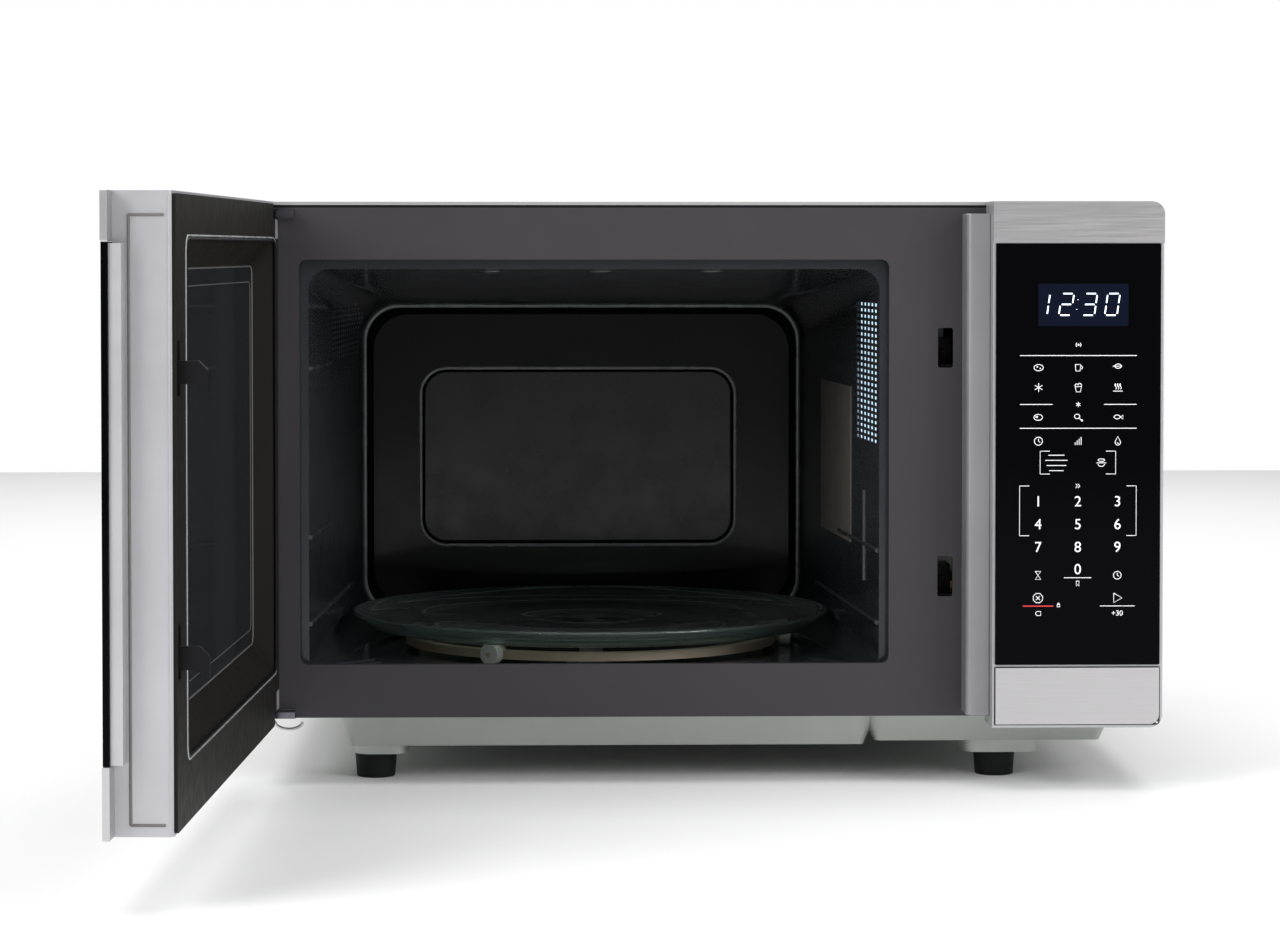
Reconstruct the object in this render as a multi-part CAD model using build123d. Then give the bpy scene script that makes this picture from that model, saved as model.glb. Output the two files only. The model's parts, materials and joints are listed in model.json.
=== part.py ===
from build123d import *
import os

# Countertop microwave oven with its door standing open.
#
# All pieces are drawn with X = 0 at the cabinet's left side, Y = 0 at the front plate (Y grows
# towards the back) and Z = 0 at the surface under the feet. The door is drawn closed, then turned
# about its hinge pins. The export moves everything so that the origin lies under the middle of
# the whole footprint, open door included.

# ---- driving dimensions (mm) ----
cabinet_w = 560.0
cabinet_d = 445.0
cabinet_top = 367.2
trim_z0 = 40.0                      # underside of the door and of the control panel
plate_z = (43.0, 363.6)             # front plate, bottom and top
cover_z0 = 42.5                     # lower edge of the cabinet cover
cover_t = 0.8
rim_t = 2.6                         # hem along the cover's front edge
sheet = 0.8

opening_x = (22.0, 392.6)           # cavity opening in the front plate
opening_z = (76.4, 331.0)
cavity_x = (27.0, 387.6)            # inside of the cavity just behind its front step
cavity_z = (68.0, 325.0)
back_x, back_top = (43.1, 363.1), 295.4     # the cavity narrows to this at its back wall
corner_r = (13.0, 26.0)             # its corner radius, front and back
cavity_back_y = 410.0
rim_depth, rim_inset = 6.0, 6.0     # sloped rim round the back wall
step_y = 12.0                       # depth of the wider front part of the cavity
back_seam_y = 388.0                 # seam between the walls and the drawn back pan
floor_seam_z = 84.0                 # seam between the side walls and the floor pan

face_y = -38.0                      # front of the door glass and of the control panel
panel_x = (453.6, 560.0)
strip_z = 341.4                     # lower edge of the steel strips along the top
bar_z = (42.3, 77.5)                # release bar, bottom and top
latch_x = (423.4, 432.9)            # latch slots in the front plate
latch_z = ((118.5, 144.2), (262.9, 288.0))

hinge_x, hinge_y = 4.5, -7.0
door_open = 92.5                    # degrees that the door stands open
pin_r, bush_bore_r, bush_r = 2.0, 2.08, 3.6
door_x = (0.0, 437.5)               # door frame without its lip
door_lip_x = 450.0
door_rear_y = -2.5
recess_x, recess_z = (14.0, 402.0), (73.5, 344.5)   # outline of the sloped window surround
window_x, window_z = (31.0, 385.0), (92.5, 328.5)   # clear window inside it
window_y = -15.0

table_x, table_y = 207.3, 200.0     # turntable axis
well_r, well_depth = 145.0, 2.0
tray_r = 162.5
tray_z = 80.5                       # underside of the glass tray
ring_r = (118.0, 126.0)
roller_r, roller_x = 6.9, (129.0, 136.5)
roller_axle_z = 73.3

foot_x, foot_y = (67.5, 465.0), (45.0, 385.0)
foot_h, foot_r = 16.0, 13.5
tub_z = (22.0, 24.4)                # underside of the two drawn halves of the base pan

fan_x, fan_z, fan_r = 476.0, 226.0, 49.5
lamp_y, lamp_z = 78.0, 290.0
antenna_y, antenna_z = 205.0, 222.0

# the open door's glass reaches this far left of the cabinet
door_reach_x = 46.0
origin = (-(cabinet_w - door_reach_x) / 2, 0.0)


# ---- helpers ----
def block(x, y, z):
    """Box from three (low, high) pairs."""
    centre = Pos((x[0] + x[1]) / 2, (y[0] + y[1]) / 2, (z[0] + z[1]) / 2)
    return centre * Box(x[1] - x[0], y[1] - y[0], z[1] - z[0])


def outline(a, b, radius):
    """Rectangle with round corners from two (low, high) pairs."""
    place = Pos((a[0] + a[1]) / 2, (b[0] + b[1]) / 2)
    return place * RectangleRounded(a[1] - a[0], b[1] - b[0], radius)


def slab_x(y, z, x, radius):
    return extrude(Plane.YZ.offset(x[0]) * outline(y, z, radius), amount=x[1] - x[0])


def slab_y(x, z, y, radius):
    return extrude(Plane.XZ.offset(-y[1]) * outline(x, z, radius), amount=y[1] - y[0])


def slab_z(x, y, z, radius):
    return extrude(Plane.XY.offset(z[0]) * outline(x, y, radius), amount=z[1] - z[0])


def rod_x(y, z, x, radius):
    return Pos((x[0] + x[1]) / 2, y, z) * Rot(0, 90, 0) * Cylinder(radius, x[1] - x[0])


def rod_y(x, z, y, radius):
    return Pos(x, (y[0] + y[1]) / 2, z) * Rot(90, 0, 0) * Cylinder(radius, y[1] - y[0])


def rod_z(x, y, z, radius):
    return Pos(x, y, (z[0] + z[1]) / 2) * Cylinder(radius, z[1] - z[0])


def grown(pair, amount):
    """The (low, high) pair moved outwards by amount at both ends."""
    return (pair[0] - amount, pair[1] + amount)


def slots(plane, centre, pitch, count, size, depth):
    """Grid of straight slots, cut through depth on both sides of a plane."""
    shapes = Pos(*centre) * GridLocations(*pitch, *count) * Rectangle(*size)
    return extrude(plane * (Sketch() + shapes), amount=depth, both=True)


# ---- cabinet ----
def cabinet_cover():
    hem_y = (0.0, 9.0)
    full = (0.0, cabinet_w)
    outer = block(full, (0, cabinet_d), (cover_z0, cabinet_top))
    outer = fillet(outer.edges().filter_by(Axis.Y).group_by(Axis.Z)[-1], 5)
    inner = block(grown(full, -cover_t), (-1, cabinet_d + 1), (0, cabinet_top - cover_t))
    inner = fillet(inner.edges().filter_by(Axis.Y).group_by(Axis.Z)[-1], 5 - cover_t)
    hem = block(full, hem_y, (cover_z0, cabinet_top))
    hem = fillet(hem.edges().filter_by(Axis.Y).group_by(Axis.Z)[-1], 5)
    hem -= block(grown(full, -1.1), (-1, 20), (0, cabinet_top - rim_t))
    cover = (outer - inner) + hem
    side_vents = slots(Plane.YZ, (340, 130), (62, 8), (2, 14), (50, 3), cabinet_w + 1)
    right_half = block((cabinet_w / 2, cabinet_w + 5), (0, cabinet_d), (0, 400))
    left_vents = slots(Plane.YZ, (150, 318), (62, 8), (2, 4), (50, 3), 5)
    return cover - (side_vents & right_half) - left_vents


def front_plate():
    x = (1.2, cabinet_w - 1.2)
    plate = block(x, (0, 1), plate_z)
    for z in plate_z:
        level = (z, z + 1) if z == plate_z[0] else (z - 1, z)
        plate += block(x, (0, 12), level)
    lip = slab_y(grown(opening_x, 0.8), grown(opening_z, 0.8), (0, 4), 5.8)
    plate = plate + lip - slab_y(opening_x, opening_z, (-1, 5), 5)
    for z in latch_z:
        plate -= slab_y(latch_x, z, (-1, 2), 1.5)
    plate -= block((455, 467), (-1, 2), (48, 62))
    return plate - slab_y((470, 544), (110, 300), (-1, 2), 4)


def cavity_section(y, wall=0.0, inset=0.0):
    """Cross-section of the narrowing cavity at depth y, grown by the wall's thickness."""
    t = (y - step_y) / (cavity_back_y - step_y)
    x0 = cavity_x[0] + t * (back_x[0] - cavity_x[0]) + inset
    x1 = cavity_x[1] + t * (back_x[1] - cavity_x[1]) - inset
    top = cavity_z[1] + t * (back_top - cavity_z[1]) - inset
    radius = corner_r[0] + t * (corner_r[1] - corner_r[0]) + wall
    shape = outline(grown((x0, x1), wall), grown((cavity_z[0] + inset, top), wall), radius)
    return (Plane.XZ.offset(-y) * shape).face()


def cavity_body(y0, wall):
    """Solid of the cavity's inside, or with wall, of its outside."""
    rim_y = cavity_back_y - rim_depth
    sections = [cavity_section(y0, wall), cavity_section(rim_y, wall),
                cavity_section(cavity_back_y + wall, wall, rim_inset)]
    return loft(sections, ruled=True)


def cavity_skin():
    """The whole sheet cavity with its wider front step, before it is parted into nodes."""
    mouth_x, mouth_z = grown(opening_x, 0.9), grown(opening_z, 0.9)
    skin = slab_y(grown(mouth_x, sheet), grown(mouth_z, sheet), (1, step_y + sheet), 6.6)
    skin += cavity_body(step_y, sheet)
    skin -= slab_y(mouth_x, mouth_z, (0, step_y), 5.8)
    neck = slab_y(mouth_x, mouth_z, (step_y - 1, step_y + 1), 5.8)
    neck &= extrude(cavity_section(step_y + sheet), amount=3, both=True)
    return skin - cavity_body(step_y + sheet, 0.0) - neck


# vent and wave outlet windows in the side walls: (across the wall, along it, up it)
left_wall, right_wall = (cavity_x[0] - 2, back_x[0] + 1), (back_x[1] - 1, cavity_x[1] + 2)
exhaust_window = (left_wall, (162, 360), (260, 302))
inlet_window = (right_wall, (21, 113), (211, 306))
inlet_column = (right_wall, (15.2, 18.6), (192, 314))
wave_outlet = (right_wall, (142, 268), (150, 238))


def cavity_wrap(skin):
    wrap = skin - block((0, 420), (step_y + 1, 420), (0, floor_seam_z))
    wrap -= block((0, 420), (back_seam_y, 420), (0, 400))
    for x, y, z in (exhaust_window, inlet_window, wave_outlet):
        wrap -= block(x, y, z)
    x, y, z = inlet_column
    centre = ((y[0] + y[1]) / 2, (z[0] + z[1]) / 2)
    return wrap - slots(Plane.YZ.offset(x[0]), centre, (1, 4.1), (1, 29), (2.2, 2.2), 30)


def vent_plate(skin, window, count, pitch, size):
    """Perforated piece of a cavity side wall."""
    x, y, z = window
    plate = skin & block(x, y, z)
    centre = ((y[0] + y[1]) / 2, (z[0] + z[1]) / 2)
    return plate - slots(Plane.YZ.offset(x[0]), centre, pitch, count, size, 30)


def cavity_floor(skin):
    """Floor pan with round upturned sides and a shallow well under the turntable."""
    z = cavity_z[0]
    well = (z - well_depth - sheet, z - well_depth)
    floor = skin & block((0, 420), (step_y + 1, back_seam_y), (0, floor_seam_z))
    floor += rod_z(table_x, table_y, (well[0], z), well_r + sheet)
    floor -= rod_z(table_x, table_y, (well[1], z + 1), well_r)
    return floor - rod_z(table_x, table_y, (0, z), 9.5)


def cavity_back(skin):
    """Back wall with its sloped rim and a pressed panel in its middle."""
    x, z = (83.9, 317.1), (118.0, 249.4)
    y, depth = cavity_back_y, 4.5
    back = skin & block((0, 420), (back_seam_y, 420), (0, 400))
    for wall, sign in ((sheet, 1), (0.0, -1)):
        mouth = Plane.XZ.offset(-y + (1 - sign)) * outline(grown(x, wall), grown(z, wall), 19)
        bottom = Plane.XZ.offset(-y - depth - wall) * outline(grown(x, wall - 3), grown(z, wall - 3), 16)
        panel = loft([mouth.face(), bottom.face()], ruled=True)
        back = back + panel if sign > 0 else back - panel
    return back


def base_pan():
    z = (cover_z0 - 0.9, cover_z0)
    pan = block((1.2, cabinet_w - 1.2), (13, cabinet_d - 2), z)
    halves = (((44, 388), tub_z[0]), ((378, 538), tub_z[1]))
    hollows = []
    for x, bottom in halves:
        pan += drawn_tub(x, (14, 430), z[1], bottom, 12, 24)
        hollows.append(drawn_tub(grown(x, -1), (15, 429), z[1], bottom + sheet, 11, 24))
    for x in ((53, 90), (442, 494)):
        for y in foot_y:
            pan += drawn_tub(x, grown((y, y), 19), 26, foot_h, 12, 8)
            hollows.append(drawn_tub(grown(x, -1), grown((y, y), 18), 26, foot_h + sheet, 11, 8))
    for hollow in hollows:
        pan -= hollow
    for x in foot_x:
        for y in foot_y:
            pan -= rod_z(x, y, (foot_h - 1, foot_h + 2), 2.1)
    return pan


def drawn_tub(x, y, top, bottom, radius, taper):
    """Rounded block that narrows downwards from top to bottom."""
    sketch = Plane.XY.offset(top) * outline(x, y, radius)
    return extrude(sketch, amount=bottom - top, taper=taper)


def back_panel():
    x, z = (1.0, cabinet_w - 1.0), (43.4, cabinet_top - 1)
    panel = slab_y(x, z, (cabinet_d - 1.6, cabinet_d - 0.8), 5)
    spacer_y = (cabinet_d - 1.6, cabinet_d + 10)
    for x in (60, 330):
        panel += rod_y(x, 300, spacer_y, 12) - rod_y(x, 300, (0, cabinet_d + 9), 11)
    panel -= slots(Plane.XZ.offset(-cabinet_d), (fan_x, fan_z), (34, 7), (3, 13), (28, 3.4), 5)
    panel -= slots(Plane.XZ.offset(-cabinet_d), (200, 335), (40, 8), (5, 3), (34, 3.4), 5)
    return panel - rod_y(500, 90, (0, 460), 8)


def cord_gland():
    bush = rod_y(500, 90, (cabinet_d - 6, cabinet_d + 5), 7.9)
    bush += rod_y(500, 90, (cabinet_d - 0.8, cabinet_d + 1.5), 10.5)
    return bush - rod_y(500, 90, (0, 500), 4)


def feet():
    body = Pos(0, 0, foot_h / 2) * Cone(foot_r - 1.3, foot_r, foot_h)
    body = fillet(body.edges().group_by(Axis.Z)[0], 1)
    body = body - rod_z(0, 0, (-1, 9), 5.5) - rod_z(0, 0, (0, 20), 2.1)
    return Compound(children=[Pos(x, y, 0) * body for x in foot_x for y in foot_y])


def case_screws():
    screws = []
    for x in foot_x:
        for y in foot_y:
            screws.append(rod_z(x, y, (6, 9), 4.8) + rod_z(x, y, (9, 22), 2))
    for x, z in ((20, 60), (20, 350), (280, 355), (540, 60), (540, 350)):
        screws.append(rod_y(x, z, (cabinet_d - 0.8, cabinet_d + 1.4), 4))
    return Compound(children=screws)


# ---- control panel ----
def control_panel_frame():
    z = (trim_z0, cabinet_top)
    body = block(panel_x, (face_y + 1.5, 0), z)
    body = fillet(body.edges().filter_by(Axis.Y).group_by(Axis.X)[-1], 8)
    body -= block(grown(panel_x, -2.0), (face_y + 4.5, 1), grown(z, -2.0))
    body = fillet(body.edges().filter_by(Axis.Z).group_by(Axis.Y)[0], 0.6)
    body -= slab_y((474, 541), (250, 330), (face_y - 1, face_y + 6), 2)
    body -= slab_y((454.9, 558.3), (41.6, 78.2), (face_y - 1, face_y + 6), 0.6)
    return body - block((470, 544), (face_y, face_y + 6), (90, 240))


def panel_side_rail():
    rail = block((438.6, panel_x[0]), (-24, 0), (46.3, 359.6))
    rail = chamfer(rail.edges().filter_by(Axis.Z).group_by(Axis.X)[0].group_by(Axis.Y)[0], 2)
    return rail - block((440.6, 451.6), (-22, 1), (48.3, 357.6))


def control_glass():
    return slab_y((455.2, 557.8), (79.4, strip_z - 0.4), (face_y, face_y + 1.5), 0.8)


def panel_top_strip():
    strip = block(panel_x, (face_y - 0.4, face_y + 1.5), (strip_z, cabinet_top))
    corner = strip.edges().filter_by(Axis.Y).group_by(Axis.X)[-1].group_by(Axis.Z)[-1]
    return fillet(corner, 8)


def display_module():
    window = block((476, 539), (face_y + 1.6, face_y + 6), (286, 328))
    return window + block((472, 543), (face_y + 6, face_y + 12), (280, 334))


def control_board():
    board = block((460, 553), (face_y + 13, face_y + 14.6), (92, 335))
    for x in (466, 547):
        for z in (100, 200, 270):
            board += rod_y(x, z, (face_y + 4.5, face_y + 13), 2.5)
    for x, z, w, h in ((490, 150, 26, 26), (520, 210, 14, 30), (480, 240, 10, 10), (528, 120, 18, 12)):
        board += block((x - w / 2, x + w / 2), (face_y + 14.6, face_y + 22), (z - h / 2, z + h / 2))
    return board


def release_bar():
    x = (455.6, 557.6)
    bar = block(x, (face_y + 0.8, face_y + 14), bar_z)
    corner = bar.edges().filter_by(Axis.Y).group_by(Axis.X)[-1].group_by(Axis.Z)[0]
    bar = fillet(corner, 6)
    bar -= block(grown(x, -2), (face_y + 3, face_y + 15), grown(bar_z, -2))
    stem = block((457.6, 464.5), (face_y + 3, 3), (50.5, 59.5))
    stem -= Pos(461, 3, 59.5) * Rot(45, 0, 0) * Box(12, 6, 6)
    return bar + stem


def release_bar_face():
    x = (455.6, 557.6)
    skin = block(x, (face_y, face_y + 0.8), bar_z)
    corner = skin.edges().filter_by(Axis.Y).group_by(Axis.X)[-1].group_by(Axis.Z)[0]
    return fillet(corner, 6)


# ---- latch and interlock ----
def latch_board():
    board = block((416, 419), (1, 62), (100, 306))
    for z in (104, 252):
        board += block((419, 433), (6, 20), (z, z + 4))
    for z in (120, 160, 262):
        board += rod_x(46, z + 10, (419, 422), 3)
    return board - slab_x((20, 50), (190, 245), (415, 420), 4)


def interlock_switch(z):
    body = block((422, 434), (22, 50), (z, z + 17))
    for y in (28, 34, 44):
        body += block((434, 441), (y, y + 1), (z + 6, z + 11))
    return body - block((426.5, 429.5), (20, 25), (z + 7, z + 10))


def switch_plunger(z):
    return block((426.8, 429.2), (18.5, 23), (z + 7.4, z + 9.6))


def latch_key():
    bar = block((424, 432), (-13, -6), (108, 298))
    for low, high in ((120, 136), (265, 281)):
        hook = block((425.4, 430.6), (-8, 13), (low + 4, high))
        hook += block((425.4, 430.6), (8, 13), (low, low + 5))
        tip = hook.edges().filter_by(Axis.X).group_by(Axis.Y)[-1].group_by(Axis.Z)[-1]
        bar += chamfer(tip, 5)
    return bar


def latch_spring():
    leaf = block((425, 431), (-12, -7), (299, 300))
    leaf += block((425, 431), (-12, -11.4), (300, 318))
    return leaf + block((425, 431), (-12, -7), (318, 319))


def latch_lifter():
    lifter = block((434, 437), (4, 14), (66, 265))
    for z in (117, 262):
        lifter += block((425, 434), (5, 13), (z, z + 2.6))
    foot_block = block((434, 466), (6, 14), (62, 68))
    return lifter + foot_block


# ---- door, drawn closed ----
def door_frame():
    z = (trim_z0, cabinet_top)
    rail_y = (face_y + 3.5, door_rear_y - 2)
    body = block(door_x, rail_y, z)
    body = chamfer(body.edges().filter_by(Axis.Z).group_by(Axis.Y)[-1], 1.5)
    body -= block((3, 434.5), (face_y + 8, 0), grown(z, -3))
    body -= slab_y(grown(window_x, 8), grown(window_z, 8), (face_y, 0), 10)
    body += block((door_x[1] - 3, door_lip_x), (face_y + 3.5, face_y + 10), (78, strip_z - 1))
    for low in (49.5, 344.0):
        body += block((0, 14), (-16, door_rear_y - 0.1), (low, low + 12))
    for low, high in ((42.3, 49.5), (356, 365.4)):
        body -= rod_z(hinge_x, hinge_y, (low, high), 20)
    return body - rod_z(hinge_x, hinge_y, (45, 360), bush_r)


def door_glass():
    return slab_y((0.4, 451.6), (bar_z[1], strip_z - 0.2), (face_y, face_y + 3.5), 0.8)


def door_strip(z):
    """Steel strip along the front of the door, above or below its glass."""
    return block((0, 452), (face_y - 0.4, face_y + 3.5), z)


def door_pan():
    """Steel pan with a shallow tray that carries the fine perforations of the window."""
    x, z = (16, 420), (52, 355)
    pan = block(x, (-29, -17), z) - block(grown(x, -1), (-30, -18), grown(z, -1))
    pan -= slab_y(window_x, window_z, (-17.4, 0), 6)
    return pan


def inner_window():
    return slab_y(grown(window_x, 8), grown(window_z, 8), (-17, window_y), 8)


def choke_cover():
    z = grown((trim_z0, cabinet_top), -1.5)
    plate = slab_y((1.5, 436), z, (door_rear_y - 2, door_rear_y), 2)
    funnels = []
    for extra in (2.2, 0.0):
        mouth = Plane.XZ.offset(-door_rear_y) * outline(grown(recess_x, extra), grown(recess_z, extra), 9)
        throat = Plane.XZ.offset(-window_y) * outline(grown(window_x, extra), grown(window_z, extra), 7)
        funnels.append(loft([mouth.face(), throat.face()]))
    cover = plate + funnels[0] - funnels[1]
    for low, high in latch_z:
        cover -= slab_y(latch_x, (low, high + 3), (-6, 0), 1.5)
    for low in (49.5, 344.0):
        cover -= block((0, 14.2), (-17, 0), (low - 0.2, low + 12.2))
    for low, high in ((30, 49.5), (356, 370)):
        cover -= rod_z(hinge_x, hinge_y, (low, high), 20)
    return cover


def hinge_bushes():
    bushes = []
    for low in (49.5, 344.0):
        bushes.append(rod_z(hinge_x, hinge_y, (low, low + 12), bush_r)
                      - rod_z(hinge_x, hinge_y, (low - 1, low + 13), bush_bore_r))
    return Compound(children=bushes)


def door_screws():
    screws = []
    for x in (24, 410):
        for z in (62, 345):
            screws.append(rod_y(x, z, (-17, -15.2), 3.2))
    return Compound(children=screws)


def hinge_bracket(tongue_z, pin_z):
    """Tongue fixed to the front plate, with the pin that the door turns on."""
    tongue = block((hinge_x, 19.5), (-12, 0), tongue_z)
    tongue += block((5, 19.5), (-3, 0), (tongue_z[0] - 1, tongue_z[1] + 1))
    tongue += rod_z(hinge_x, hinge_y, tongue_z, 5)
    return tongue + rod_z(hinge_x, hinge_y, pin_z, pin_r)


# ---- turntable ----
def glass_tray():
    points = [(0, tray_z), (146, tray_z), (156, 86), (tray_r, 90.5), (tray_r, 92), (159.5, 92.4),
              (152, 88.4), (144, 85.5), (0, 85.5)]
    profile = make_face(Plane.XZ * Polyline(points, close=True))
    tray = Pos(table_x, table_y, 0) * revolve(profile, Axis.Z)
    for angle in (0, 120, 240):
        lug = Rot(0, 0, angle) * Pos(13.5, 0, tray_z - 1.2) * Box(5, 6, 2.8)
        tray += Pos(table_x, table_y, 0) * lug
    return tray


def turntable_coupler():
    hub = rod_z(0, 0, (66.5, 75.5), 8) + rod_z(0, 0, (50, 67), 2.4)
    for angle in (60, 180, 300):
        hub += Rot(0, 0, angle) * Pos(9, 0, 77.2) * Box(15, 6.4, 4)
    hub += rod_z(0, 0, (75, 79.2), 5)
    return Pos(table_x, table_y, 0) * hub


def roller_ring():
    z = (69.5, 75.0)
    ring = rod_z(0, 0, z, ring_r[1]) - rod_z(0, 0, (60, 80), ring_r[0])
    for angle in (0, 120, 240):
        hub = rod_x(0, roller_axle_z, (ring_r[0] + 2, ring_r[1] + 2.6), 4.2)
        axle = rod_x(0, roller_axle_z, (ring_r[1], roller_x[1] + 1), 1.5)
        ring += Rot(0, 0, angle) * (hub + axle)
    return Pos(table_x, table_y, 0) * ring


def roller(angle):
    wheel = rod_x(0, roller_axle_z, roller_x, roller_r)
    wheel = fillet(wheel.edges(), 0.8)
    wheel -= rod_x(0, roller_axle_z, grown(roller_x, 1), 1.56)
    return Pos(table_x, table_y, 0) * Rot(0, 0, angle) * wheel


def turntable_motor():
    body = rod_z(0, 0, (46, 62), 25)
    for x in (-1, 1):
        body += block(((x - 1) / 2 * 34, (x + 1) / 2 * 34), (-5, 5), (61, 62))
        body += rod_z(31 * x, 0, (61, cavity_z[0] - well_depth - sheet), 4)
    body -= rod_z(0, 0, (49, 63), 2.48)
    return Pos(table_x, table_y, 0) * body


# ---- microwave source, cooling and boards ----
def wave_window():
    """Mica sheet on the inside of the right wall, over the wave outlet."""
    sheet_block = block(right_wall, (133, 276), (142, 246))
    shifted = Pos(-0.5, 0, 0) * cavity_body(step_y + sheet, 0.0)
    return (sheet_block & cavity_body(step_y + sheet, 0.0)) - shifted


def waveguide():
    x, y, z = (360, 428), (136, 274), (142, 262)
    box = block(x, y, z) - block((x[0] - 1, x[1] - 1), grown(y, -1), grown(z, -1))
    return box - cavity_body(step_y, sheet) - rod_x(antenna_y, antenna_z, (420, 430), 9)


def magnetron():
    body = rod_x(antenna_y, antenna_z, (412, 430), 6.5)
    body += rod_x(antenna_y, antenna_z, (428, 512), 15)
    for x in (430, 506):
        body += rod_x(antenna_y, antenna_z, (x, x + 9), 27)
    for i in range(9):
        x = 444 + i * 7
        body += block((x, x + 0.9), (antenna_y - 38, antenna_y + 38), (antenna_z - 34, antenna_z + 34))
    for z in (-36, 34):
        body += block((428.2, 517), (antenna_y - 40, antenna_y + 40), (antenna_z + z, antenna_z + z + 2))
    return body + block((515, 540), (antenna_y - 26, antenna_y + 26), (antenna_z - 20, antenna_z + 20))


def air_duct():
    x, y, z = (370, 412), (16, 128), (186, 322)
    duct = block(x, y, z) - block((x[0] - 1, x[1] - 1.6), (17.6, 129), grown(z, -1.6))
    return duct - cavity_body(step_y, sheet) - rod_x(lamp_y, lamp_z, (405, 415), 7)


def cavity_lamp():
    lamp = block((412, 434), grown((lamp_y, lamp_y), 12), grown((lamp_z, lamp_z), 12))
    bulb = rod_x(lamp_y, lamp_z, (395, 413), 6.6)
    return lamp + fillet(bulb.edges().group_by(Axis.X)[0], 5)


def inverter_board():
    board = block((398, 536), (196, 384), (54, 55.6))
    for x in (404, 516):
        for y in (202, 360):
            board += rod_z(x, y, (tub_z[1] + sheet, 54), 3)
    for x, y, r, h in ((420, 220, 11, 30), (446, 214, 8, 22), (520, 370, 9, 26), (424, 370, 6, 14)):
        board += rod_z(x, y, (55.6, 55.6 + h), r)
    board += block((484, 524), (210, 286), (55.6, 60))
    for i in range(8):
        x = 484 + i * 5.4
        board += block((x, x + 1.6), (210, 286), (60, 98))
    return board


def inverter_transformer():
    core = block((432, 492), (296, 356), (56, 96))
    core -= block((444, 480), (290, 360), (66, 86))
    winding = block((437, 487), (306, 346), (62, 90))
    return core + winding


def fan_shroud():
    plate = slab_y(grown((fan_x, fan_x), 58), grown((fan_z, fan_z), 58), (396, 399), 8)
    plate += rod_y(fan_x, fan_z, (380, 399), fan_r + 3.5)
    return plate - rod_y(fan_x, fan_z, (370, 405), fan_r + 1.5)


def fan_motor():
    motor = block(grown((fan_x, fan_x), 22), (408, 434), grown((fan_z, fan_z), 22))
    motor += rod_y(fan_x, fan_z, (402, 440), 11)
    for x, z in ((-1, -1), (-1, 1), (1, -1), (1, 1)):
        arm = block(grown((fan_x + 37 * x, fan_x + 37 * x), 17), (410, 413), grown((fan_z + 15 * z, fan_z + 15 * z), 4))
        post = rod_y(fan_x + 50 * x, fan_z + 15 * z, (399, 413), 3)
        motor += arm + post
    return motor - rod_y(fan_x, fan_z, (400, 420), 2.06)


def fan_rotor():
    rotor = rod_y(0, 0, (383, 396), 13)
    for i in range(5):
        blade = Pos(30, 389.5, 0) * Rot(28, 0, 0) * Box(38, 2, 20)
        rotor += Rot(0, 72 * i, 0) * blade
    rotor += rod_y(0, 0, (390, 415), 2)
    return Pos(fan_x, 0, fan_z) * rotor


def noise_filter_board():
    board = block((420, 540), (330, 380), (318, 319.6))
    for x, w, h in ((440, 24, 20), (476, 18, 24), (512, 26, 16)):
        board += block((x - w / 2, x + w / 2), (338, 372), (319.6, 319.6 + h))
    for x in (426, 534):
        board += rod_z(x, 336, (319.6, cabinet_top - 2), 2.5)
    return board


def humidity_sensor():
    y, z = 390, 285
    body = rod_x(y, z, (15, 45), 8) - cavity_body(step_y, sheet)
    return body + block((11, 15), (y - 10, y + 10), (z - 10, z + 10))


def place_door(shape):
    turn = Pos(hinge_x, hinge_y, 0) * Rot(0, 0, -door_open) * Pos(-hinge_x, -hinge_y, 0)
    return turn * shape


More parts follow.
